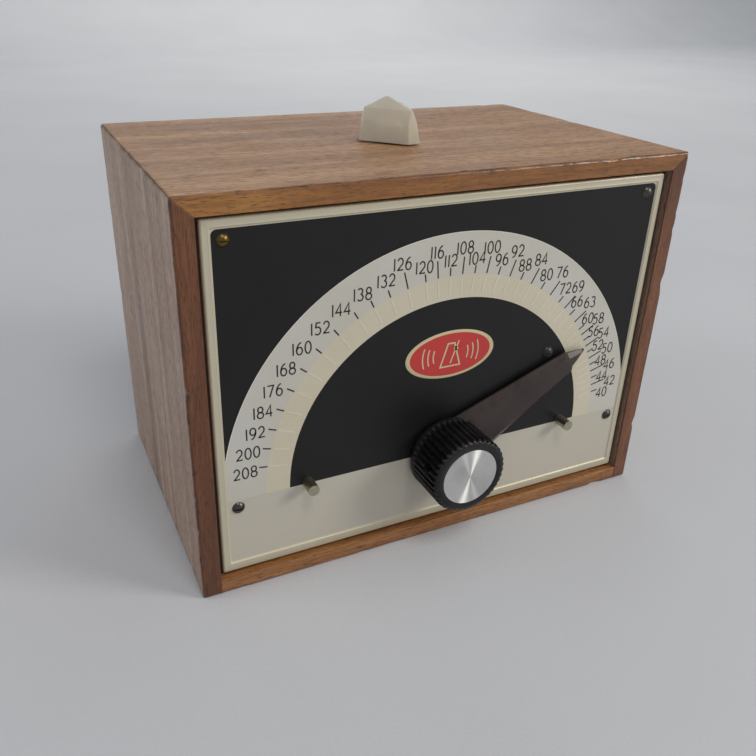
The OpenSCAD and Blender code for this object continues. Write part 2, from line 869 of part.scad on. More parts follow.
// Knob and pointer are one moulding: plain skirt, fluted barrel, bevelled rim and a
// shallow recess for the inlay. The underside is hollow around the bush nut.
module pointer_knob() {
    base = 1.2;
    skirt = 3;
    rim = 2.4;
    color(black) translate([0, plate_front, knob_z]) rotate([90, 0, 0]) rotate(pointer_angle)
        difference() {
            union() {
                translate([0, 0, base]) cylinder(r = knob_r, h = skirt);
                translate([0, 0, base + skirt])
                    linear_extrude(height = knob_proud - base - skirt - rim)
                        polygon(flute_outline(knob_r - 0.1, 0.55, 40));
                translate([0, 0, knob_proud - rim]) cylinder(r = knob_r - 0.15, h = 0.8);
                translate([0, 0, knob_proud - rim + 0.8])
                    cylinder(r1 = knob_r - 0.15, r2 = knob_r - 1.7, h = rim - 0.8);
                translate([0, 0, base]) pointer_arm();
            }
            translate([0, 0, base - 1]) cylinder(r = 8.2, h = 4.5);
            cylinder(r = control_r, h = 15);
            translate([0, 0, knob_proud - 0.5]) cylinder(r = 9.35, h = 2);
            translate([0, 0, set_screw_up]) rotate(set_screw_turn) rotate([0, 90, 0])
                cylinder(r = 1.6, h = 14);
        }
}

module knob_inlay() {
    color([0.8, 0.8, 0.8]) bar_y(0, knob_z, 9.25, plate_front - knob_proud + 0.1,
        plate_front - knob_proud + 0.5);
}

module knob_set_screw() {
    color(dark_steel) translate([0, plate_front - set_screw_up, knob_z]) rotate([90, 0, 0])
        rotate(pointer_angle + set_screw_turn) rotate([0, 90, 0])
            translate([0, 0, control_r]) difference() {
                cylinder(r = 1.6, h = 6);
                translate([-2, -0.3, 5.2]) cube([4, 0.6, 2]);
            }
}

module control_shaft() {
    color(steel) bar_y(0, knob_z, control_r, plate_front - 14.9, shaft_back);
}

module shaft_pinion() {
    color(brass) translate([0, pinion_y1, knob_z]) rotate([90, 0, 0])
        linear_extrude(height = pinion_y1 - pinion_y0) difference() {
            rotate(90) polygon(gear_outline(rack_m, rack_teeth, gear_backlash));
            circle(r = control_r);
        }
}

case_top();
case_left();
case_right();
case_bottom();
front_cleats();
rear_cleats();
dial_plate();
plate_screws();
plate_screw_brass();
stop_pins();
spindle_bush();
bush_nut();
chassis();
chassis_spacer();
chassis_screw();
foot_screws();
motor_posts();
motor_bracket();
field_core();
field_coil();
motor_bridge();
slide_rail();
beat_bushes();
hammer_pin();
sound_post();
contact_stack();
lamp_lens();
lens_gasket();
neon_lamp();
lamp_holder();
lamp_screws();
ballast_resistor();
back_panel();
back_screws();
cord_grommet();
switch_body();
switch_nut();
pointer_knob();
knob_inlay();
knob_set_screw();
control_shaft();
shaft_pinion();
rack_bar();
roller_fork();
roller_hub();
roller_tyre();
beat_shaft();
beat_cam();
drive_disc();
disc_shaft();
disc_gear();
rotor_drum();
rotor_shaft();
rotor_pinion();
hammer_arm();
hammer_head();
contact_blade();
switch_lever();
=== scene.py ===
"""Electric metronome: the looks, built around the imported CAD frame.

Metres. +X is right of the dial, +Y is the back, +Z is up. The dial faces -Y.
"""

import json
import math

import bmesh
import bpy
from mathutils import Matrix, Vector, noise


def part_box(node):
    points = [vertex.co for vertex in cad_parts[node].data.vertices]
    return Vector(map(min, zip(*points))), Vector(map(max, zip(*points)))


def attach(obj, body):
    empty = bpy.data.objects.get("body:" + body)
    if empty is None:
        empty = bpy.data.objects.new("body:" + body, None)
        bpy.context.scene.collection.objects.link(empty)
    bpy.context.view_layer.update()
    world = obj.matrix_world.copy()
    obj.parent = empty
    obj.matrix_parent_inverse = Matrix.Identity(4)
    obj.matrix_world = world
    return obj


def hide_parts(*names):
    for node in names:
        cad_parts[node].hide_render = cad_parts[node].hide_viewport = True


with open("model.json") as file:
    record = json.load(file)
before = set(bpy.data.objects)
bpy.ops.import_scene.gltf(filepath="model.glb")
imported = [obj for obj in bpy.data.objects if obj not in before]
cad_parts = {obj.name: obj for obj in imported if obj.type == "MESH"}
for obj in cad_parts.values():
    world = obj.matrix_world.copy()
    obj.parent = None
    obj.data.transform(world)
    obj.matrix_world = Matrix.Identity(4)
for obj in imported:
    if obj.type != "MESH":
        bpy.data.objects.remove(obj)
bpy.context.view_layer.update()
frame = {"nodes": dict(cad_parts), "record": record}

MM = 0.001
UP = Vector((0, 0, 1))

# ------------------------------------------------------------ places from the frame

HALF_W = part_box("case_right")[1].x
INNER_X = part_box("case_bottom")[1].x
FRONT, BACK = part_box("case_left")[0].y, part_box("case_left")[1].y
CASE_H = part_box("case_top")[1].z
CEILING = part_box("case_top")[0].z
FLOOR_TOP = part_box("case_bottom")[1].z
PLATE_LO, PLATE_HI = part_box("dial_plate")
PLATE_Y = PLATE_LO.y
INLAY_LO, INLAY_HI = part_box("knob_inlay")
AXIS_Z = (INLAY_LO.z + INLAY_HI.z) / 2
KNOB_TOP = PLATE_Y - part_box("pointer_knob")[0].y    # from the plate to the knob's face
BASE_GAP = PLATE_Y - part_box("pointer_knob")[1].y    # from the plate to its skirt
POINTER_ANGLE = math.radians(28)                    # of the pointer at rest, above +X
LENS_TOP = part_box("lamp_lens")[1].z
HOLE_LO, HOLE_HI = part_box("lens_gasket")
LENS_Y = (HOLE_LO.y + HOLE_HI.y) / 2


def srgb(r, g, b):
    """A colour given in 0 to 255, as linear RGBA."""
    lin = [c / 12.92 if c <= 0.04045 else ((c + 0.055) / 1.055) ** 2.4
           for c in (r / 255, g / 255, b / 255)]
    return (*lin, 1.0)


# ------------------------------------------------------------------- node materials


class Graph:
    """A material's node tree. Each call adds one node and returns its output."""

    def __init__(self, name):
        self.material = bpy.data.materials.new(name)
        self.material.use_nodes = True
        self.tree = self.material.node_tree
        self.tree.nodes.clear()
        self.place = self.node("TexCoord", out="Object")

    def node(self, kind, inputs=None, out=0, **props):
        made = self.tree.nodes.new("ShaderNode" + kind)
        for key, value in props.items():
            setattr(made, key, value)
        for key, value in (inputs or {}).items():
            if isinstance(value, bpy.types.NodeSocket):
                self.tree.links.new(value, made.inputs[key])
            else:
                made.inputs[key].default_value = value
        return made.outputs[out]

    def stretch(self, scale, shift=(0, 0, 0)):
        return self.node("Mapping", {"Vector": self.place, "Scale": scale, "Location": shift})

    def noise(self, vector, scale=1.0, detail=3.0, rough=0.5, warp=0.0):
        return self.node("TexNoise", {"Vector": vector, "Scale": scale, "Detail": detail,
                                      "Roughness": rough, "Distortion": warp})

    def math(self, op, a, b=0.0, c=0.0):
        return self.node("Math", {0: a, 1: b, 2: c}, operation=op)

    def range(self, value, low, high, to_low=0.0, to_high=1.0):
        return self.node("MapRange", {0: value, 1: low, 2: high, 3: to_low, 4: to_high})

    def axes(self):
        split = self.tree.nodes.new("ShaderNodeSeparateXYZ")
        self.tree.links.new(self.place, split.inputs[0])
        return split.outputs

    def ramp(self, value, stops, smooth=False):
        made = self.tree.nodes.new("ShaderNodeValToRGB")
        self.tree.links.new(value, made.inputs[0])
        band = made.color_ramp
        band.interpolation = "EASE" if smooth else "LINEAR"
        band.elements[0].position, band.elements[0].color = stops[0]
        band.elements[1].position, band.elements[1].color = stops[-1]
        for position, colour in stops[1:-1]:
            band.elements.new(position).color = colour
        return made.outputs[0]

    def mix(self, factor, a, b, blend="MIX"):
        made = self.tree.nodes.new("ShaderNodeMix")
        made.data_type, made.blend_type = "RGBA", blend
        for index, value in ((0, factor), (6, a), (7, b)):
            if isinstance(value, bpy.types.NodeSocket):
                self.tree.links.new(value, made.inputs[index])
            else:
                made.inputs[index].default_value = value
        return made.outputs[2]

    def bump(self, height, depth, strength=1.0, under=None):
        inputs = {"Height": height, "Distance": depth, "Strength": strength}
        if under is not None:
            inputs["Normal"] = under
        return self.node("Bump", inputs)

    def finish(self, colour, rough, normal=None, **fixed):
        """Ends the graph in a Principled shader. fixed holds its other sockets."""
        inputs = {"Base Color": colour, "Roughness": rough}
        if normal is not None:
            inputs["Normal"] = normal
        for key, value in fixed.items():
            inputs[key.replace("_", " ").title().replace("Ior", "IOR")] = value
        shader = self.node("BsdfPrincipled", inputs)
        out = self.tree.nodes.new("ShaderNodeOutputMaterial")
        self.tree.links.new(shader, out.inputs["Surface"])
        return self.material


def along(axis, long, across):
    """Scale that stretches a texture along one axis."""
    return tuple(long if i == axis else across for i in range(3))


def edge_mask(g, reach):
    """1 on the outer edges of the case, falling to 0 at that distance from them."""
    x, y, z = g.axes()
    a = g.math("SUBTRACT", HALF_W, g.math("ABSOLUTE", x))
    b = g.math("SUBTRACT", BACK, g.math("ABSOLUTE", y))
    c = g.math("MINIMUM", g.math("SUBTRACT", CASE_H, z), z)
    second = g.math("MAXIMUM", g.math("MINIMUM", a, b),
                    g.math("MINIMUM", g.math("MAXIMUM", a, b), c))
    return g.range(second, 0.0, reach, 1.0, 0.0)


def walnut(name, axis, tones, end_tones, shift):
    """Oiled walnut: soft streaks, dense short dark pores, and rubbed, nicked edges.

    The narrow faces at the front and back of the case have their own, redder tones; for the top
    and sides the broad faces' tones are paler and greyer, with painted sheen in them.
    """
    g = Graph(name)
    bend = g.noise(g.stretch(along(axis, 9, 30), shift), detail=2)
    bent = g.node("VectorMath", {0: g.stretch(along(axis, 5, 95), shift),
                                 1: g.mix(1.0, (0.9, 0.9, 0.9, 1), bend, "MULTIPLY")},
                  operation="ADD")
    broad = g.noise(bent, detail=4, rough=0.55, warp=0.5)
    fine = g.noise(g.stretch(along(axis, 70, 1150), shift), detail=4, rough=0.65)
    hair = g.noise(g.stretch(along(axis, 110, 3300), shift), detail=3, rough=0.7)
    pores = g.noise(g.stretch(along(axis, 330, 3600), shift), detail=3, rough=0.6)
    _, y, _ = g.axes()
    depth = g.math("SUBTRACT", BACK, g.math("ABSOLUTE", y))
    narrow = g.range(depth, 0.35 * MM, 0.8 * MM, 1.0, 0.0)
    stops = (0.3, 0.5, 0.7)
    colour = g.mix(narrow, g.ramp(broad, list(zip(stops, tones))),
                   g.ramp(broad, list(zip(stops, end_tones))))
    dark = g.mix(narrow, tones[0], end_tones[0])
    colour = g.mix(g.range(fine, 0.44, 0.66, 0.0, 0.6), colour, dark)
    pale = g.mix(narrow, tones[2], end_tones[2])
    colour = g.mix(g.range(hair, 0.5, 0.7, 0.0, 0.45), colour, pale)
    pore = g.range(pores, 0.54, 0.64)
    colour = g.mix(g.math("MULTIPLY", pore, 0.68), colour, srgb(56, 36, 27))
    patchy = g.range(g.noise(g.stretch((120, 120, 120)), detail=4), 0.4, 0.6)
    rubbed = g.math("MULTIPLY", edge_mask(g, 1.1 * MM), patchy)
    colour = g.mix(g.math("MULTIPLY", rubbed, 0.75), colour, srgb(50, 27, 18))
    chips = g.noise(g.stretch(along(axis, 240, 620), (3, 1, 7)), detail=3)
    nick = g.math("MULTIPLY", edge_mask(g, 1.6 * MM), g.range(chips, 0.6, 0.64))
    colour = g.mix(nick, colour, srgb(26, 14, 10))
    smear = g.noise(g.stretch((40, 25, 40), (4, 0, 2)), detail=5, rough=0.7)
    satin = g.range(smear, 0.3, 0.7, 0.4, 0.58)
    rough = g.math("ADD", g.math("SUBTRACT", satin, g.math("MULTIPLY", narrow, 0.16)),
                   g.math("MULTIPLY", pore, 0.2))
    height = g.math("SUBTRACT", g.math("MULTIPLY", fine, 0.3), pore)
    return g.finish(colour, rough, g.bump(height, 0.05 * MM, 0.6), coat_weight=0.1,
                    coat_roughness=0.25, specular_ior_level=0.5)


def metal(name, tint, rough, streak_axis=None, grime=0.35):
    """Bare metal with handling marks, grime, and fine lines along streak_axis if it has one."""
    g = Graph(name)
    cloud = g.noise(g.stretch((220, 220, 220)), detail=5, rough=0.65)
    drawn = g.stretch(along(streak_axis, 60, 5200) if streak_axis is not None
                      else (2600, 2600, 2600))
    lines = g.noise(drawn, detail=2)
    dark = tuple(c * 0.35 for c in tint[:3]) + (1,)
    spots = g.range(g.noise(g.stretch((900, 900, 900), (1, 2, 3)), detail=3), 0.6, 0.72)
    colour = g.mix(g.math("MULTIPLY", g.range(cloud, 0.45, 0.75), grime), tint, dark)
    colour = g.mix(g.math("MULTIPLY", spots, grime), colour, dark)
    shine = g.math("ADD", g.range(cloud, 0.3, 0.8, rough * 0.75, rough * 1.35),
                   g.math("MULTIPLY", spots, 0.2))
    normal = g.bump(lines, 0.01 * MM, 0.5)
    return g.finish(colour, shine, normal, metallic=1.0)


def moulded(name, tint, rough, grain=0.02, dust=0.12, level=0.5):
    """Moulded plastic or rubber: faint mottling, dust and a fine surface grain."""
    g = Graph(name)
    cloud = g.noise(g.stretch((90, 90, 90)), detail=5, rough=0.7)
    speck = g.noise(g.stretch((1500, 1500, 1500)), detail=3, rough=0.7)
    skin = g.noise(g.stretch((3200, 3200, 3200)), detail=2)
    pale = tuple(min(1, c * 1.5 + 0.02) for c in tint[:3]) + (1,)
    colour = g.mix(g.range(cloud, 0.35, 0.75), tint, pale)
    colour = g.mix(g.math("MULTIPLY", g.range(speck, 0.62, 0.74), dust), colour,
                   srgb(150, 145, 138))
    shine = g.range(cloud, 0.3, 0.75, rough * 0.85, rough * 1.25)
    return g.finish(colour, shine, g.bump(skin, grain * MM, 0.6), specular_ior_level=level)


def paint(name, tint, rough, weave=0.0, metallic=0.0, stain=None, level=0.5):
    """Printed or enamelled sheet: slight yellowing in clouds, hairline scratches.

    weave is the pitch of a pressed checked grain, with painted shade in its hollows, or 0 for a
    smooth sheet.
    """
    g = Graph(name)
    cloud = g.noise(g.stretch((38, 38, 38), (2, 0, 5)), detail=5, rough=0.6)
    mottle = g.noise(g.stretch((1400, 1400, 1400)), detail=3, rough=0.7)
    scratch = g.noise(g.stretch((260, 260, 5200), (0, 0, 1)), detail=2, warp=1.5)
    stained = stain or tuple(c * 0.86 for c in tint[:3]) + (1,)
    colour = g.mix(g.range(cloud, 0.38, 0.72, 0.0, 0.5), tint, stained)
    colour = g.mix(g.range(mottle, 0.45, 0.8, 0.0, 0.25), colour, stained)
    shine = g.math("ADD", g.range(cloud, 0.3, 0.7, rough * 0.9, rough * 1.2),
                   g.math("MULTIPLY", g.range(scratch, 0.66, 0.7), 0.12))
    height = mottle
    depth = 0.008 * MM
    if weave:
        x, _, z = g.axes()
        wave = [g.math("SINE", g.math("MULTIPLY", place, 2 * math.pi / weave))
                for place in (x, z)]
        woven = g.math("MULTIPLY", wave[0], wave[1])
        height = g.math("ADD", g.math("MULTIPLY", woven, 0.5), mottle)
        # Painted shade: the hollows of the pressed grain take the darker stained tone, and only
        # its ridges get a share of the plain tint.
        colour = g.mix(g.range(height, 0.2, 1.0, 0.0, 0.35), stained, colour)
        depth = 0.03 * MM
    return g.finish(colour, shine, g.bump(height, depth, 0.7), metallic=metallic,
                    specular_ior_level=level)


def spun_aluminium(name):
    """Aluminium turned on a lathe: fine rings and the crossed fan of light they give."""
    g = Graph(name)
    x, _, z = g.axes()
    dz = g.math("SUBTRACT", z, AXIS_Z)
    radius = g.math("SQRT", g.math("ADD", g.math("MULTIPLY", x, x), g.math("MULTIPLY", dz, dz)))
    rings = g.node("TexNoise", {"W": g.math("MULTIPLY", radius, 9000.0), "Scale": 1.0,
                                "Detail": 2.0}, noise_dimensions="1D")
    cloud = g.noise(g.stretch((150, 150, 150)), detail=4)
    colour = g.mix(g.range(rings, 0.3, 0.7), srgb(222, 223, 220), srgb(243, 243, 239))
    colour = g.mix(g.range(cloud, 0.5, 0.8, 0.0, 0.3), colour, srgb(188, 188, 182))
    spoke = g.node("CombineXYZ", {0: g.math("DIVIDE", x, radius), 1: 0.0,
                                  2: g.math("DIVIDE", dz, radius)})
    return g.finish(colour, g.range(cloud, 0.3, 0.8, 0.39, 0.44),
                    g.bump(rings, 0.004 * MM, 0.5), metallic=1.0, anisotropic=0.99,
                    tangent=spoke)


def lens_plastic(name):
    """Milky moulded plastic, darker and yellower towards its foot and rubbed matt outside."""
    g = Graph(name)
    cloud = g.noise(g.stretch((170, 170, 170)), detail=3, rough=0.5)
    scuff = g.noise(g.stretch((700, 700, 700), (5, 5, 5)), detail=2)
    _, _, z = g.axes()
    low = g.range(z, LENS_TOP - 11 * MM, LENS_TOP - 2 * MM, 1.0, 0.0)
    colour = g.mix(g.range(cloud, 0.3, 0.7), srgb(250, 245, 232), srgb(243, 236, 220))
    colour = g.mix(g.math("MULTIPLY", low, 0.5), colour, srgb(214, 200, 172))
    return g.finish(colour, g.range(scuff, 0.3, 0.7, 0.2, 0.27), transmission_weight=0.42,
                    ior=1.42, subsurface_weight=0.5, subsurface_scale=0.004,
                    subsurface_radius=(1.0, 0.8, 0.55))


def lamp_glass(name):
    """The neon lamp's envelope: smoky glass over grey electrodes."""
    g = Graph(name)
    _, _, z = g.axes()
    soot = g.range(g.noise(g.stretch((500, 500, 500)), detail=3), 0.3, 0.8)
    # Darker below the top of the case, where the lamp sits down in its hole.
    dark = g.range(z, CASE_H - 2 * MM, CASE_H + 3 * MM, 1.0, 0.55)
    colour = g.mix(g.math("MULTIPLY", soot, dark), srgb(120, 92, 66), srgb(60, 44, 34))
    return g.finish(colour, g.range(soot, 0.0, 1.0, 0.12, 0.3), transmission_weight=0.25,
                    ior=1.5)


def hardboard(name):
    """Pressed fibreboard: matted brown fibres on a smooth face."""
    g = Graph(name)
    mat = g.noise(g.stretch((900, 900, 260)), detail=5, rough=0.75, warp=2.5)
    wide = g.noise(g.stretch((60, 60, 60)), detail=4)
    fibre = g.noise(g.stretch((1800, 1800, 420), (3, 3, 3)), detail=3, warp=3.0)
    colour = g.ramp(mat, [(0.3, srgb(72, 50, 35)), (0.52, srgb(104, 74, 51)),
                          (0.75, srgb(136, 101, 70))])
    colour = g.mix(g.range(wide, 0.4, 0.7, 0.0, 0.4), colour, srgb(84, 60, 42))
    return g.finish(colour, g.range(fibre, 0.3, 0.7, 0.5, 0.72), g.bump(fibre, 0.04 * MM, 0.7))


def softwood(name, tones):
    """Plain sawn strip wood with upright grain."""
    g = Graph(name)
    band = g.noise(g.stretch(along(2, 8, 240)), detail=4, warp=0.6)
    saw = g.noise(g.stretch(along(2, 1400, 90)), detail=2)
    colour = g.ramp(band, [(0.3, tones[0]), (0.7, tones[1])])
    return g.finish(colour, g.range(saw, 0.3, 0.7, 0.6, 0.8), g.bump(saw, 0.05 * MM, 0.6))


# Dark, middle and light tones of each board's grain, and of the narrow ends at front and back.
# The broad faces of the top and sides are paler and greyer than their own narrow ends: the same
# wood with a painted sheen in it.
TOP_TONES_WITH_SHEEN = (srgb(142, 102, 69), srgb(181, 137, 98), srgb(203, 161, 120))
SIDE_TONES_WITH_SHEEN = (srgb(116, 91, 76), srgb(160, 133, 114), srgb(188, 164, 145))
TOP_END_TONES = (srgb(104, 61, 25), srgb(150, 97, 45), srgb(178, 124, 64))
SIDE_END_TONES = (srgb(75, 40, 21), srgb(112, 66, 38), srgb(138, 88, 54))
LOW_TONES = (srgb(104, 62, 32), srgb(150, 98, 54), srgb(174, 120, 70))

MATERIALS = {
    "walnut_top": walnut("walnut_top", 0, TOP_TONES_WITH_SHEEN, TOP_END_TONES, (0, 0, 0)),
    "walnut_left": walnut("walnut_left", 2, SIDE_TONES_WITH_SHEEN, SIDE_END_TONES, (2.3, 1.1, 0.4)),
    "walnut_right": walnut("walnut_right", 2, SIDE_TONES_WITH_SHEEN, SIDE_END_TONES, (5.7, 3.1, 1.9)),
    "walnut_low": walnut("walnut_low", 0, LOW_TONES, LOW_TONES, (3.1, 6.2, 2.2)),
    "stained": softwood("stained_strip", (srgb(40, 27, 20), srgb(62, 42, 30))),
    "pine": softwood("pine", (srgb(190, 152, 104), srgb(222, 190, 142))),
    "steel": metal("zinc_steel", srgb(176, 176, 174), 0.34, 2),
    "dark_steel": metal("blued_steel", srgb(92, 90, 88), 0.36, None, 0.5),
    "brass": metal("aged_brass", srgb(124, 102, 62), 0.36, None, 0.8),
    "nickel": metal("nickel", srgb(188, 182, 160), 0.36, None, 0.35),
    "aluminium": spun_aluminium("spun_aluminium"),
    "black_steel": moulded("blacked_steel", srgb(24, 24, 26), 0.35, 0.01, 0.2),
    "lamination": metal("varnished_iron", srgb(74, 72, 74), 0.5, 1, 0.6),
    "fibre": moulded("brown_fibre", srgb(112, 66, 40), 0.55, 0.03),
    "bakelite": moulded("bakelite", srgb(14, 13, 15), 0.27, 0.01, 0.1, 0.32),
    "rubber": moulded("rubber", srgb(26, 25, 25), 0.62, 0.03, 0.3),
    "lens": lens_plastic("lens_plastic"),
    "glass": lamp_glass("lamp_glass"),
    "hardboard": hardboard("hardboard"),
    "arm": moulded("pointer_arm", srgb(38, 23, 19), 0.34, 0.002, 0.07),
    "plate": paint("plate_enamel", srgb(212, 204, 180), 0.4, metallic=0.25),
    "panel": paint("plate_panel", srgb(214, 207, 192), 0.45, weave=0.62 * MM, metallic=0.12),
    "band": paint("scale_band", srgb(205, 203, 196), 0.4, stain=srgb(196, 188, 168)),
    "tint": paint("scale_tint", srgb(214, 206, 184), 0.38, stain=srgb(203, 192, 166)),
    "tint_line": paint("scale_tint_line", srgb(223, 216, 196), 0.34),
    # A painted highlight: the bright edge of the band's raised lip, as a pale colour.
    "lip": paint("scale_lip_highlight", srgb(226, 222, 208), 0.3),
    "print": paint("black_print", srgb(17, 17, 19), 0.46, stain=srgb(28, 27, 28), level=0.35),
    "ink": paint("black_ink", srgb(30, 30, 32), 0.5, stain=srgb(56, 54, 52)),
    "badge": paint("badge_red", srgb(200, 58, 54), 0.34, stain=srgb(184, 50, 48)),
    "badge_rim": paint("badge_cream", srgb(214, 198, 158), 0.36, stain=srgb(190, 172, 130)),
}

# ---------------------------------------------------------------------- mesh helpers


def piece(name, bm, body, look, sharp=30, stands_for=()):
    """Makes a mesh piece of the object from bm, riding on a CAD body."""
    bmesh.ops.recalc_face_normals(bm, faces=bm.faces)
    mesh = bpy.data.meshes.new(name)
    bm.to_mesh(mesh)
    bm.free()
    mesh.materials.append(MATERIALS[look])
    mesh.shade_smooth()
    mesh.set_sharp_from_angle(angle=math.radians(sharp))
    obj = bpy.data.objects.new(name, mesh)
    bpy.context.scene.collection.objects.link(obj)
    if stands_for:
        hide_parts(*stands_for)
    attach(obj, body)
    return obj


def apply_modifiers(obj):
    """Turns the object's modifiers into plain mesh."""
    graph = bpy.context.evaluated_depsgraph_get()
    mesh = bpy.data.meshes.new_from_object(obj.evaluated_get(graph))
    obj.modifiers.clear()
    obj.data = mesh


def arc(cx, cy, rx, ry, start, end, steps):
    """Points on an ellipse, angles in degrees."""
    turns = [math.radians(start + (end - start) * i / steps) for i in range(steps + 1)]
    return [(cx + rx * math.cos(t), cy + ry * math.sin(t)) for t in turns]


def rounded_loop(x0, x1, z0, z1, radius, steps=6):
    """A rectangle with round corners, as points, starting at the lower right corner."""
    loop = []
    for cx, cz, start in ((x1 - radius, z0 + radius, -90), (x1 - radius, z1 - radius, 0),
                          (x0 + radius, z1 - radius, 90), (x0 + radius, z0 + radius, 180)):
        loop += arc(cx, cz, radius, radius, start, start + 90, steps)
    return loop


def cap_with_triangles(bm, faces):
    """Splits end faces of many corners into triangles."""
    for face in faces:
        face.normal_update()
    bmesh.ops.triangulate(bm, faces=faces)


def add_prism(bm, outline, y0, y1):
    """Adds a closed slab with that X and Z outline, from y0 to y1."""
    ends = [[bm.verts.new((x, y, z)) for x, z in outline] for y in (y0, y1)]
    faces = [bm.faces.new(ends[0]), bm.faces.new(ends[1][::-1])]
    count = len(outline)
    for i in range(count):
        j = (i + 1) % count
        bm.faces.new((ends[0][i], ends[1][i], ends[1][j], ends[0][j]))
    cap_with_triangles(bm, faces)


def add_ribbon(bm, points, width, y0, y1, closed=False):
    """Adds a closed flat stroke of that width along points in X and Z."""
    count = len(points)
    way = [Vector(points[(i + 1) % count]) - Vector(points[i]) for i in range(count)]
    sides = ([], [])
    for i, (x, z) in enumerate(points):
        after = way[i] if closed or i < count - 1 else way[i - 1]
        before = way[i - 1] if closed or i > 0 else after
        bend = (before.normalized() + after.normalized()).normalized()
        reach = width / 2 / max(0.5, bend.dot(after.normalized()))
        for side, sign in zip(sides, (1, -1)):
            px, pz = x - sign * bend.y * reach, z + sign * bend.x * reach
            side.append([bm.verts.new((px, y, pz)) for y in (y0, y1)])
    left, right = sides
    for i in range(count if closed else count - 1):
        j = (i + 1) % count
        for k in (0, 1):
            bm.faces.new((left[i][k], left[j][k], right[j][k], right[i][k]))
        bm.faces.new((left[i][0], left[j][0], left[j][1], left[i][1]))
        bm.faces.new((right[i][0], right[j][0], right[j][1], right[i][1]))
    if not closed:
        for i in (0, count - 1):
            bm.faces.new((left[i][0], right[i][0], right[i][1], left[i][1]))


def add_loft(bm, loops):
    """Joins loops of 3-D points, each with the same number of points, and closes the ends."""
    rows = [[bm.verts.new(p) for p in loop] for loop in loops]
    count = len(loops[0])
    for low, high in zip(rows, rows[1:]):
        for i in range(count):
            j = (i + 1) % count
            bm.faces.new((low[i], low[j], high[j], high[i]))
    cap_with_triangles(bm, [bm.faces.new(rows[0][::-1]), bm.faces.new(rows[-1])])


# ------------------------------------------------------------------------------ case


BEVEL = 0.8 * MM             # rounding of the outer edges
INNER_BEVEL = 0.22           # the share of it that the inner edges get
THIN, THICK = 3 * MM, 9 * MM  # every board's thickness and mitre lie between these
WEAR_REACH = 2.2 * MM        # how far from an edge it is worn
WEAR_MAX = 0.7 * MM          # deepest dent


def edge_distance(p):
    """Distance from the nearest outer edge of the case, measured on its surface."""
    near = sorted((HALF_W - abs(p.x), BACK - abs(p.y), min(CASE_H - p.z, p.z)))
    return near[1]


def wear(bm, seed):
    """Dents and softens the outer edges of a board, always inwards."""
    for v in bm.verts:
        distance = edge_distance(v.co)
        if distance > WEAR_REACH:
            continue
        p = v.co + Vector((seed, 0, 0))
        dent = max(0.0, noise.noise(p * 190) - 0.36) * 1.6
        soft = 0.05 * (0.5 + noise.noise(p * 45))
        depth = (dent + max(0, soft)) * MM * (1 - distance / WEAR_REACH)
        inward = Vector((0, 0, 0))
        if HALF_W - abs(v.co.x) < WEAR_REACH:
            inward.x = -math.copysign(1, v.co.x)
        if BACK - abs(v.co.y) < WEAR_REACH:
            inward.y = -math.copysign(1, v.co.y)
        if CASE_H - v.co.z < WEAR_REACH:
            inward.z = -1
        v.co += inward * min(depth, WEAR_MAX)


def runs_deep(edge):
    """True for an edge that runs from the front of the case towards its back."""
    start, end = edge.verts
    return abs(start.co.y - end.co.y) > MM


def crosses_thickness(edge, outline):
    """True for an edge that runs through a board's thickness in the X and Z plane."""
    (x0, z0), (x1, z1) = outline[0], outline[1]
    run = Vector((x1 - x0, 0, z1 - z0)).normalized()
    step = edge.verts[1].co - edge.verts[0].co
    return abs(step.normalized().dot(run)) < 0.9


def split_edges(bm, wanted, cuts):
    """Cuts each edge for which wanted(edge) is true into cuts + 1 parts."""
    chosen = [e for e in bm.edges if wanted(e)]
    bmesh.ops.subdivide_edges(bm, edges=chosen, cuts=cuts, use_grid_fill=True)


def board(name, outline, look, seed):
    """One board of the case: an X and Z outline from front to back, rounded and worn."""
    bm = bmesh.new()
    rows = [[bm.verts.new((x, y, z)) for x, z in outline] for y in (FRONT, BACK)]
    bm.faces.new(rows[0][::-1])
    bm.faces.new(rows[1])
    for i in range(4):
        j = (i + 1) % 4
        bm.faces.new((rows[0][i], rows[0][j], rows[1][j], rows[1][i]))
    split_edges(bm, lambda e: not runs_deep(e) and e.calc_length() > 20 * MM, 63)
    split_edges(bm, runs_deep, 39)
    split_edges(bm, lambda e: THIN < e.calc_length() < THICK and not runs_deep(e)
                and crosses_thickness(e, outline), 2)
    weight = bm.edges.layers.float.new("bevel_weight_edge")
    for e in bm.edges:
        if len(e.link_faces) == 2 and e.calc_face_angle() > math.radians(30):
            outer = all(edge_distance(v.co) < 0.01 * MM for v in e.verts)
            e[weight] = 1.0 if outer else INNER_BEVEL
    made = piece("board_" + name, bm, "case", look, 50, ("case_" + name,))
    bevel = made.modifiers.new("rounding", "BEVEL")
    bevel.limit_method, bevel.width, bevel.segments = "WEIGHT", BEVEL, 3
    apply_modifiers(made)
    bm = bmesh.new()
    bm.from_mesh(made.data)
    wear(bm, seed)
    bm.to_mesh(made.data)
    bm.free()
    return made


def cut_hole(obj, centre, axis, radius, length):
    """Cuts a round hole from that centre, as long as that each way along the axis."""
    bm = bmesh.new()
    turn = Vector(axis).to_track_quat("Z", "Y")
    loops = [[Vector(centre) + turn @ Vector((px, py, z))
              for px, py in arc(0, 0, radius, radius, 0, 360, 48)[:-1]]
             for z in (-length, length)]
    add_loft(bm, loops)
    bmesh.ops.recalc_face_normals(bm, faces=bm.faces)
    mesh = bpy.data.meshes.new("cutter")
    bm.to_mesh(mesh)
    bm.free()
    cutter = bpy.data.objects.new("cutter", mesh)
    bpy.context.scene.collection.objects.link(cutter)
    cut = obj.modifiers.new("hole", "BOOLEAN")
    cut.operation, cut.object, cut.solver = "DIFFERENCE", cutter, "EXACT"
    apply_modifiers(obj)
    bpy.data.objects.remove(cutter)


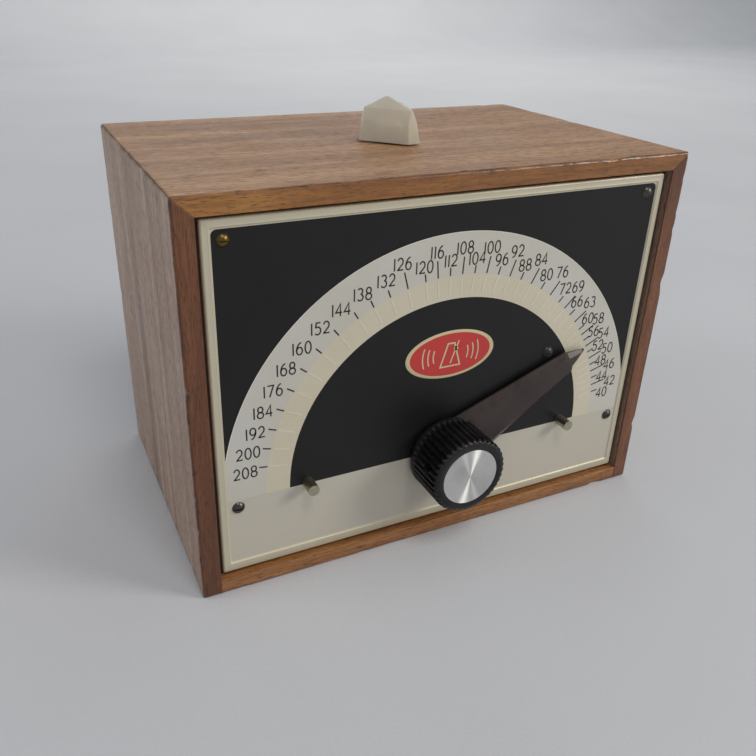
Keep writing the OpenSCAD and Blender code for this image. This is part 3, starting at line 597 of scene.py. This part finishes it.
board("left", [(-HALF_W, 0), (-HALF_W, CASE_H), (-INNER_X, CEILING), (-INNER_X, 0)],
      "walnut_left", 3)
board("right", [(HALF_W, 0), (HALF_W, CASE_H), (INNER_X, CEILING), (INNER_X, 0)],
      "walnut_right", 5)
board("bottom", [(-INNER_X, 0), (INNER_X, 0), (INNER_X, FLOOR_TOP), (-INNER_X, FLOOR_TOP)],
      "walnut_low", 7)
TOP = board("top", [(-HALF_W, CASE_H), (HALF_W, CASE_H), (INNER_X, CEILING),
                    (-INNER_X, CEILING)], "walnut_top", 9)
cut_hole(TOP, (0, LENS_Y, CASE_H), (0, 0, 1), 6 * MM, 8 * MM)

# ------------------------------------------------------------------------ dial plate

BORDER = 2.8 * MM            # plate border at the top and the sides
LOW_BORDER = 3.6 * MM        # plate border at the foot
FIELD_R = 51.4 * MM          # black half disc
TINT_R = 58.5 * MM           # outside of the tinted ring
BAND_R = 71.3 * MM           # outside of the scale band
FIELD_X = 70.0 * MM          # half width of the sunk field
FIELD_TOP = PLATE_HI.z - BORDER
FIELD_LOW = PLATE_LO.z + LOW_BORDER
SIDE_ANGLE = math.degrees(math.acos(FIELD_X / BAND_R))
CORNER = 1.6 * MM            # round corner of the black field
INK = 0.03 * MM              # thickness of a printed layer
INK_FRONT = PLATE_Y - 2 * INK
INK_BACK = PLATE_Y - 0.5 * INK
STROKE = 0.42 * MM           # width of a printed line
TICK_R = 58.7 * MM           # inner end of the ticks
INNER_TICK_R = 61.1 * MM     # outer end of the ticks of the inner row
OUTER_TICK_R = 63.9 * MM     # outer end of the ticks of the outer row
PRESSED_R = (52.9 * MM, 57.9 * MM)  # both ends of the pale ticks in the tinted ring
PRESSED_W = 0.5 * MM         # and their width
INNER_ROW_R = 63.2 * MM      # middle of the numbers of the inner row
OUTER_ROW_R = 66.5 * MM      # middle of the numbers of the outer row
SINGLE_ROW_R = 61.4 * MM     # near side of the numbers that stand in one row
SINGLE_ROW_FROM = 132        # first tempo of that single row
# Below each first number the scale goes up in steps of the second.
TEMPO_STEPS = ((60, 2), (72, 3), (120, 4), (144, 6), (209, 8))


def plate_mesh():
    """Pressed plate: a raised rounded border round a sunk flat field."""
    bm = bmesh.new()
    # Inset from the rim, depth behind the field and corner radius, in millimetres.
    steps = [(0.0, 1.2, 0.5), (0.0, 0.15, 0.5), (0.2, -0.2, 0.5), (0.5, -0.38, 0.5),
             (1.7, -0.36, 0.5), (2.0, -0.46, 0.5), (2.2, -0.4, 0.5),
             (2.45, -0.08, 0.6), (2.7, 0.0, 0.6)]
    loops = []
    for inset, depth, radius in steps:
        low = inset * LOW_BORDER / BORDER
        loops.append([Vector((x, PLATE_Y + depth * MM, z)) for x, z in rounded_loop(
            PLATE_LO.x + inset * MM, PLATE_HI.x - inset * MM, PLATE_LO.z + low * MM,
            PLATE_HI.z - inset * MM, radius * MM)])
    add_loft(bm, loops)
    return bm


def above_axis(radius, start=0, end=180, steps=72):
    """An arc about the knob's axis, in X and Z."""
    return arc(0, AXIS_Z, radius, radius, start, end, steps)


def printed(name, outline, look):
    """One printed patch on the plate."""
    bm = bmesh.new()
    add_prism(bm, outline, PLATE_Y - INK, PLATE_Y + 0.01 * MM)
    piece(name, bm, "case", look)


def scale_angle(beats):
    """Angle of a tempo mark above +X, in degrees: a curve fitted to the photographed scale."""
    return 236.64 * math.log(beats + 129.81) - 1206.7


def scale_marks():
    """Every tempo on the scale, with True for those on the outer row."""
    marks = []
    beats = 40
    outer = False
    while beats <= 208:
        marks.append((beats, outer and beats < SINGLE_ROW_FROM))
        beats += next(step for limit, step in TEMPO_STEPS if beats < limit)
        outer = not outer
    return marks


piece("dial_plate_pressed", plate_mesh(), "case", "plate", 25, ("dial_plate",))

printed("dial_black_field",
        above_axis(BAND_R, SIDE_ANGLE, 180 - SIDE_ANGLE)
        + arc(-FIELD_X + CORNER, FIELD_TOP - CORNER, CORNER, CORNER, 180, 90, 6)
        + arc(FIELD_X - CORNER, FIELD_TOP - CORNER, CORNER, CORNER, 90, 0, 6), "print")
printed("dial_scale_band",
        [(FIELD_X, AXIS_Z)] + above_axis(BAND_R, SIDE_ANGLE, 180 - SIDE_ANGLE)
        + [(-FIELD_X, AXIS_Z)] + above_axis(TINT_R, 180, 0), "band")
printed("dial_tint_ring", above_axis(TINT_R) + above_axis(FIELD_R, 180, 0), "tint")
printed("dial_half_disc", above_axis(FIELD_R), "print")
printed("dial_lower_panel",
        rounded_loop(-FIELD_X, FIELD_X, FIELD_LOW + 0.1 * MM, AXIS_Z - 0.15 * MM, 0.3 * MM),
        "panel")


def radial(bm, angle, r0, r1, width, y0, y1):
    """A straight stroke that points at the knob's axis."""
    c, s = math.cos(math.radians(angle)), math.sin(math.radians(angle))
    ends = [(r * c, AXIS_Z + r * s) for r in (r0, r1)]
    add_ribbon(bm, ends, width, y0, y1)


def tick_marks():
    """The printed ticks, and the pale ones pressed into the tinted ring."""
    dark, pale = bmesh.new(), bmesh.new()
    for beats, outer in scale_marks():
        angle = scale_angle(beats)
        reach = OUTER_TICK_R if outer else INNER_TICK_R
        radial(dark, angle, TICK_R, reach, STROKE, INK_FRONT, INK_BACK)
        radial(pale, angle, *PRESSED_R, PRESSED_W, INK_FRONT - INK, INK_BACK)
    piece("dial_ticks", dark, "case", "ink")
    piece("dial_pressed_ticks", pale, "case", "tint_line")


# Each digit is a list of strokes in a box one unit wide and one unit high. A stroke is
# (points, closed).
DIGITS = {
    "0": [(arc(0.5, 0.5, 0.46, 0.5, 0, 360, 20)[:-1], True)],
    "1": [([(0.5, 0), (0.5, 1)], False)],
    "2": [(arc(0.48, 0.7, 0.42, 0.3, 165, -35, 10) + [(0.04, 0.03)], False),
          ([(0.0, 0.05), (0.98, 0.05)], False)],
    "3": [(arc(0.46, 0.76, 0.38, 0.24, 150, -80, 9), False),
          (arc(0.46, 0.27, 0.46, 0.27, 80, -150, 10), False)],
    "4": [([(0.74, 0), (0.74, 1), (0.02, 0.3), (1.0, 0.3)], False)],
    "5": [([(0.88, 0.98), (0.24, 0.98), (0.14, 0.56)], False),
          (arc(0.44, 0.32, 0.48, 0.32, 128, -140, 11), False)],
    "6": [(arc(0.5, 0.31, 0.44, 0.31, 0, 360, 18)[:-1], True),
          (arc(0.86, 0.3, 0.8, 0.7, 178, 96, 8), False)],
    "7": [([(0.04, 0.98), (0.96, 0.98), (0.34, 0)], False)],
    "8": [(arc(0.5, 0.75, 0.38, 0.25, 0, 360, 16)[:-1], True),
          (arc(0.5, 0.26, 0.46, 0.26, 0, 360, 18)[:-1], True)],
    "9": [(arc(0.5, 0.69, 0.44, 0.31, 0, 360, 18)[:-1], True),
          (arc(0.14, 0.7, 0.8, 0.7, -2, -84, 8), False)],
}
DIGIT_H = 3.55 * MM
DIGIT_W = 1.86 * MM
DIGIT_GAP = 0.62 * MM
ONE_W = 0.5 * MM


def number_width(text):
    """Width of a whole number, with the gaps between its digits."""
    return sum(ONE_W if d == "1" else DIGIT_W for d in text) + DIGIT_GAP * (len(text) - 1)


def add_number(bm, text, cx, cz):
    """Writes a number, upright and centred on that point."""
    x = cx - number_width(text) / 2
    for digit in text:
        wide = ONE_W if digit == "1" else DIGIT_W
        for points, closed in DIGITS[digit]:
            placed = [(x + px * wide, cz + (pz - 0.5) * DIGIT_H) for px, pz in points]
            add_ribbon(bm, placed, STROKE, INK_FRONT, INK_BACK, closed)
        x += wide + DIGIT_GAP


def numerals():
    """Every number. Most stand a little off their ticks, as in the photograph."""
    bm = bmesh.new()
    for beats, outer in scale_marks():
        angle = scale_angle(beats)
        text = str(beats)
        single_row = beats >= SINGLE_ROW_FROM
        if single_row:
            angle += min(0.26 * (angle - 112), 2.3 - 0.02 * (angle - 121))
        elif angle < 80:
            angle += min(1.5, 0.1 * (angle - 25), 1.5 - 0.035 * (angle - 42))
        c, s = math.cos(math.radians(angle)), math.sin(math.radians(angle))
        if single_row:
            radius = SINGLE_ROW_R + 0.5 * (number_width(text) * abs(c) + DIGIT_H * abs(s))
        else:
            radius = OUTER_ROW_R if outer else INNER_ROW_R
        add_number(bm, text, radius * c, AXIS_Z + radius * s)
    return bm


tick_marks()
piece("dial_numerals", numerals(), "case", "ink")
# A flat pale ribbon along the outer edge of the scale band: a painted highlight of its raised
# lip.
lip = bmesh.new()
add_ribbon(lip, above_axis(BAND_R - 0.12 * MM, SIDE_ANGLE, 180 - SIDE_ANGLE), 0.26 * MM,
           INK_FRONT, INK_BACK)
piece("dial_band_lip_highlight", lip, "case", "lip")

# ----------------------------------------------------------------------------- badge

BADGE_Z = 64.2 * MM          # height of the badge's middle
BADGE_RX = 15.2 * MM
BADGE_RZ = 7.7 * MM


def oval(scale):
    """The badge's outline, scaled about its middle."""
    return arc(0, BADGE_Z, BADGE_RX * scale, BADGE_RZ * scale, 0, 360, 72)[:-1]


def badge():
    """Oval badge with a made-up ornament: a swinging pendulum on a small plinth."""
    rim = bmesh.new()
    add_loft(rim, [[Vector((x, PLATE_Y - d * MM, z)) for x, z in oval(s)]
                   for s, d in ((1.0, 0.0), (1.0, 0.16), (0.985, 0.22), (0.9, 0.22))])
    piece("badge_rim", rim, "case", "badge_rim")
    red = bmesh.new()
    inner = [(x * 0.995, BADGE_Z + (z - BADGE_Z) * 0.97) for x, z in oval(0.915)]
    add_prism(red, inner, PLATE_Y - 0.25 * MM, PLATE_Y - 0.1 * MM)
    piece("badge_field", red, "case", "badge")
    mark = bmesh.new()
    y0, y1 = PLATE_Y - 0.28 * MM, PLATE_Y - 0.2 * MM
    low, high = BADGE_Z - 3.9 * MM, BADGE_Z + 3.6 * MM
    foot, head = 3.4 * MM, 1.1 * MM
    add_ribbon(mark, [(-foot, low), (-head, high), (head, high), (foot, low)], 0.5 * MM,
               y0, y1, True)
    add_ribbon(mark, [(0, low + 0.9 * MM), (2.6 * MM, high + 0.6 * MM)], STROKE, y0, y1)
    add_prism(mark, arc(1.75 * MM, BADGE_Z + 1.7 * MM, 0.75 * MM, 0.75 * MM, 0, 360, 20)[:-1],
              y0, y1)
    for middle in (180, 0):
        for radius in (6.0 * MM, 7.8 * MM, 9.6 * MM):
            swing = arc(0, BADGE_Z, radius, radius, middle - 20, middle + 20, 10)
            add_ribbon(mark, swing, STROKE, y0, y1)
    piece("badge_ornament", mark, "case", "badge_rim")


badge()

# ------------------------------------------------------------------ knob and pointer

KNOB_FRAME = (Matrix.Translation((0, PLATE_Y, AXIS_Z)) @ Matrix.Rotation(math.pi / 2, 4, "X")
              @ Matrix.Rotation(POINTER_ANGLE, 4, "Z"))
# These radii are in millimetres, as the knob's profile is.
KNOB_R = 12.6
BARREL_R = KNOB_R - 0.1
RECESS_R = (INLAY_HI.x - INLAY_LO.x) / 2 / MM + 0.1
HOLLOW_R = 8.2               # where the hollow under the skirt starts
BORE_R = 3.3
FLUTES = 40


def knob():
    """Fluted barrel on a plain skirt, with a bevelled rim round a shallow recess."""
    top = KNOB_TOP
    base = BASE_GAP
    # Radius in millimetres, height above the plate in metres, groove depth in millimetres.
    profile = [(BORE_R, base + 3.3 * MM, 0), (HOLLOW_R, base + 3.3 * MM, 0), (HOLLOW_R, base, 0),
               (KNOB_R - 0.6, base, 0), (KNOB_R - 0.2, base + 0.25 * MM, 0),
               (KNOB_R, base + 0.7 * MM, 0), (KNOB_R, base + 1.6 * MM, 0),
               (BARREL_R, base + 2.0 * MM, 0.15), (BARREL_R, base + 2.6 * MM, 0.65),
               (BARREL_R, base + 3.2 * MM, 0.9)]
    profile += [(BARREL_R, base + (4.6 + 1.5 * i) * MM, 0.9) for i in range(6)]
    profile += [(BARREL_R, top - 2.0 * MM, 0.85), (BARREL_R, top - 1.2 * MM, 0.8),
                (KNOB_R - 0.25, top - 0.75 * MM, 0.6), (KNOB_R - 0.6, top - 0.35 * MM, 0.3),
                (KNOB_R - 1.1, top - 0.1 * MM, 0.05), (KNOB_R - 1.7, top, 0),
                (RECESS_R + 0.15, top, 0), (RECESS_R, top - 0.12 * MM, 0),
                (RECESS_R, top - 0.5 * MM, 0), (BORE_R, top - 0.5 * MM, 0)]
    around = FLUTES * 8
    bm = bmesh.new()
    rows = []
    for radius, height, groove in profile:
        row = []
        for i in range(around):
            turn = 2 * math.pi * i / around
            cut = max(0.0, 0.4 + 0.6 * math.cos(FLUTES * turn))
            r = (radius - groove * cut) * MM
            place = KNOB_FRAME @ Vector((r * math.cos(turn), r * math.sin(turn), height))
            row.append(bm.verts.new(place))
        rows.append(row)
    rows.append(rows[0])
    for low, high in zip(rows, rows[1:]):
        for i in range(around):
            j = (i + 1) % around
            bm.faces.new((low[i], low[j], high[j], high[i]))
    return piece("knob_barrel", bm, "pointer", "bakelite", 40, ("pointer_knob",))


def pointer():
    """The bevelled arm: wide and flat at the knob, with a small arrow head at its tip."""
    # Distance from the axis and half width, in millimetres, at the foot and at the crest.
    base = [(8.1, 9.62), (18, 8.33), (34, 6.23), (50.2, 4.1), (50.7, 3.5), (50.9, 3.1),
            (53.8, 1.9), (56.6, 0.55), (57.1, 0.18)]
    top = [(8.1, 7.24), (18, 6.18), (34, 4.47), (49.4, 2.8), (49.9, 2.45), (50.5, 1.7),
           (53.2, 0.9), (55.6, 0.25), (56.1, 0.1)]

    def loop(points, heights):
        """A closed loop round both sides of the arm, at those heights."""
        both = [(u, -v, h) for (u, v), h in zip(points, heights)]
        both += [(u, v, h) for (u, v), h in reversed(list(zip(points, heights)))]
        return [KNOB_FRAME @ Vector((u * MM, v * MM, BASE_GAP + h * MM)) for u, v, h in both]

    crest = [2.2, 2.2, 2.2, 2.15, 2.0, 1.75, 1.45, 1.1, 0.9]
    edge = [0.75] * 5 + [0.6, 0.5, 0.4, 0.35]
    low = [(u, v - 0.12) for u, v in base]
    bm = bmesh.new()
    add_loft(bm, [loop(low, [0] * 9), loop(base, [0.12] * 9), loop(base, edge),
                  loop([(u, v + 0.22) for u, v in top], [h - 0.3 for h in crest]),
                  loop([(u, max(0.03, v - 0.2)) for u, v in top], crest)])
    piece("pointer_arm", bm, "pointer", "arm", 20)


SCREW_LO, SCREW_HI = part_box("knob_set_screw")
SCREW_MID = (SCREW_LO + SCREW_HI) / 2
SCREW_WAY = Vector((SCREW_MID.x, 0, SCREW_MID.z - AXIS_Z)).normalized()
cut_hole(knob(), Vector((0, SCREW_MID.y, AXIS_Z)) + SCREW_WAY * 11 * MM, SCREW_WAY,
         1.65 * MM, 5 * MM)
pointer()

# ------------------------------------------------------------- looks of the CAD nodes

SLOT_LOOKS = {"walnut": "walnut_top", "dial_enamel": "plate"}
NODE_LOOKS = {"front_cleats": "stained", "rear_cleats": "stained", "stop_pins": "nickel"}

# Every other slot has the material of its own name.
for part in frame["record"]["subparts"]:
    slot = part["material_slot"]
    look = NODE_LOOKS.get(part["node"], SLOT_LOOKS.get(slot, slot))
    node = frame["nodes"][part["node"]]
    node.data.materials.clear()
    node.data.materials.append(MATERIALS[look])

# ---------------------------------------------------------------- floor, light, camera


def stage_material(name, tint, depth):
    """A pale matt surface, with a grain of that depth."""
    g = Graph(name)
    cloud = g.noise(g.stretch((6, 6, 6)), detail=4)
    grain = g.noise(g.stretch((1200, 1200, 1200)), detail=3)
    pale = tuple(min(1, c * 1.06) for c in tint[:3]) + (1,)
    colour = g.mix(g.range(cloud, 0.3, 0.7), tint, pale)
    return g.finish(colour, 0.85, g.bump(grain, depth, 0.5))


BACKDROP_Y = 2.1
CURVE_R = 0.5                # from the floor up into the backdrop
STAGE_X = 4                  # half width


def stage():
    """A pale floor that curves up into a backdrop."""
    bm = bmesh.new()
    profile = [(y, 0.0) for y in (-3.0, -1.0, 0.0, 1.2)]
    profile += arc(BACKDROP_Y - CURVE_R, CURVE_R, CURVE_R, CURVE_R, -90, 0, 9)
    profile += [(BACKDROP_Y, 1.4), (BACKDROP_Y, 3.0)]
    rows = [[bm.verts.new((x, y, z)) for x in (-STAGE_X, STAGE_X)] for y, z in profile]
    for low, high in zip(rows, rows[1:]):
        bm.faces.new((low[0], low[1], high[1], high[0]))
    mesh = bpy.data.meshes.new("stage_floor")
    bm.to_mesh(mesh)
    bm.free()
    mesh.shade_smooth()
    mesh.materials.append(stage_material("stage", srgb(206, 208, 212), 0.15 * MM))
    obj = bpy.data.objects.new("stage_floor", mesh)
    bpy.context.scene.collection.objects.link(obj)


def area_light(name, place, size, watts, tint, aim=(0, 0, 0.06)):
    """A round lamp of that diameter, turned towards aim."""
    data = bpy.data.lights.new(name, "AREA")
    data.shape, data.size, data.energy, data.color = "DISK", size, watts, tint
    lamp = bpy.data.objects.new(name, data)
    lamp.location = place
    lamp.rotation_mode = "QUATERNION"
    lamp.rotation_quaternion = (Vector(aim) - Vector(place)).to_track_quat("-Z", "Y")
    bpy.context.scene.collection.objects.link(lamp)


def lights():
    """A warm key on the right, weaker lamps above and behind on the left, a lit backdrop."""
    area_light("key", (0.95, -0.78, 0.66), 0.48, 6.9, (1.0, 0.955, 0.885))
    area_light("overhead", (0.0, -0.6, 1.05), 0.32, 2.1, (1.0, 0.98, 0.95))
    area_light("back", (-1.1, 0.3, 0.42), 0.7, 2.9, (1.0, 0.97, 0.93), (-0.08, 0, 0.1))
    area_light("backdrop", (0.7, 1.0, 1.5), 1.0, 15.5, (1.0, 0.98, 0.92), (0.9, 2.1, 0.5))
    world = bpy.data.worlds.new("soft_room")
    world.use_nodes = True
    sky = world.node_tree.nodes["Background"]
    sky.inputs["Color"].default_value = (0.92, 0.95, 1.0, 1)
    sky.inputs["Strength"].default_value = 0.36
    bpy.context.scene.world = world
    bpy.context.scene.view_settings.view_transform = "Standard"


# The photograph's view, solved from the edges of the case. Azimuth turns from +Y towards +X.
CAMERA_PLACE = (-0.1141, -0.2241, 0.1650)
AZIMUTH, ELEVATION, ROLL = math.radians(26.23), math.radians(-26.29), math.radians(1.65)
LENS_MM, SENSOR_MM = 36.96, 36.0
SHIFT_X, SHIFT_Y = 0.0134, -0.0265


def camera():
    """A camera at the photograph's place, without depth of field."""
    ahead = Vector((math.sin(AZIMUTH) * math.cos(ELEVATION),
                    math.cos(AZIMUTH) * math.cos(ELEVATION), math.sin(ELEVATION)))
    level = ahead.cross(UP).normalized()
    above = level.cross(ahead)
    right = level * math.cos(ROLL) + above * math.sin(ROLL)
    up = above * math.cos(ROLL) - level * math.sin(ROLL)
    turn = Matrix((right, up, -ahead)).transposed()
    data = bpy.data.cameras.new("camera")
    data.sensor_width, data.lens = SENSOR_MM, LENS_MM
    data.shift_x, data.shift_y = SHIFT_X, SHIFT_Y
    data.clip_start, data.clip_end = 0.01, 20
    obj = bpy.data.objects.new("camera", data)
    obj.matrix_world = Matrix.Translation(CAMERA_PLACE) @ turn.to_4x4()
    bpy.context.scene.collection.objects.link(obj)
    bpy.context.scene.camera = obj


stage()
lights()
camera()
